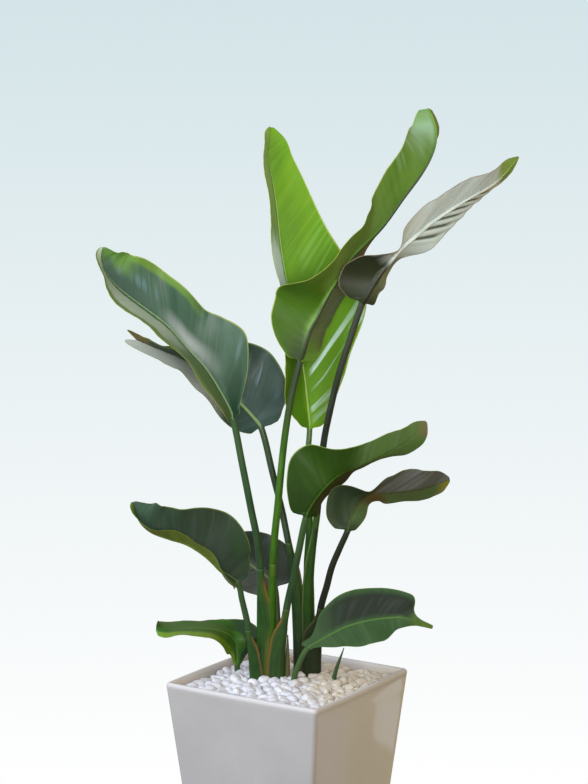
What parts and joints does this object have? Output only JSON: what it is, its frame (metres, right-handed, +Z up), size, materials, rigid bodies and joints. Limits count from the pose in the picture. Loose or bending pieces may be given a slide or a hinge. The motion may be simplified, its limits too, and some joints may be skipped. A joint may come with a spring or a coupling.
{
  "type": "potted giant white bird of paradise",
  "caption": "Indoor foliage plant with large paddle-shaped leaves on long stalks, growing in two fans from a white square tapered glazed pot topped with white pebbles.",
  "frame": {"origin": "centre of the pot's flat underside, on the floor", "axes": "+Z up; the pot's four sides lie along X and Y; the picture looks at the corner between +X and -Y"},
  "size_m": [0.6762, 0.4998, 1.3884],
  "materials": {
    "white_glaze": "glossy white glaze",
    "soil": "dark moist potting soil, rough",
    "white_stone": "tumbled white pebbles, matt",
    "sheath_green": "smooth green leaf sheaths with tan edges",
    "sheath_green_dark": "smooth dark green leaf sheaths",
    "shoot_green": "smooth dark green",
    "leaf_upper_left_green": "smooth waxy leaf with fine side veins",
    "leaf_upper_left_behind_green": "smooth waxy leaf with fine side veins",
    "leaf_top_centre_green": "smooth waxy leaf with fine side veins",
    "leaf_top_right_green": "smooth waxy leaf with fine side veins",
    "leaf_right_high_green": "smooth waxy leaf with fine side veins",
    "leaf_right_middle_green": "smooth waxy leaf with fine side veins",
    "leaf_right_dark_green": "smooth waxy leaf with fine side veins",
    "leaf_right_low_green": "smooth waxy leaf with fine side veins",
    "leaf_left_middle_green": "smooth waxy leaf with fine side veins",
    "leaf_back_middle_green": "smooth waxy leaf with fine side veins",
    "leaf_left_low_green": "smooth waxy leaf with fine side veins"
  },
  "bodies": {
    "root": {"pot": "white_glaze", "potting_soil": "soil", "pebble_bed": "white_stone", "crown_left": "sheath_green", "crown_right": "sheath_green_dark", "young_shoot": "shoot_green", "leaf_upper_left": "leaf_upper_left_green", "leaf_upper_left_behind": "leaf_upper_left_behind_green", "leaf_top_centre": "leaf_top_centre_green", "leaf_top_right": "leaf_top_right_green", "leaf_right_high": "leaf_right_high_green", "leaf_right_middle": "leaf_right_middle_green", "leaf_right_dark": "leaf_right_dark_green", "leaf_right_low": "leaf_right_low_green", "leaf_left_middle": "leaf_left_middle_green", "leaf_back_middle": "leaf_back_middle_green", "leaf_left_low": "leaf_left_low_green"}
  },
  "joints": []
}
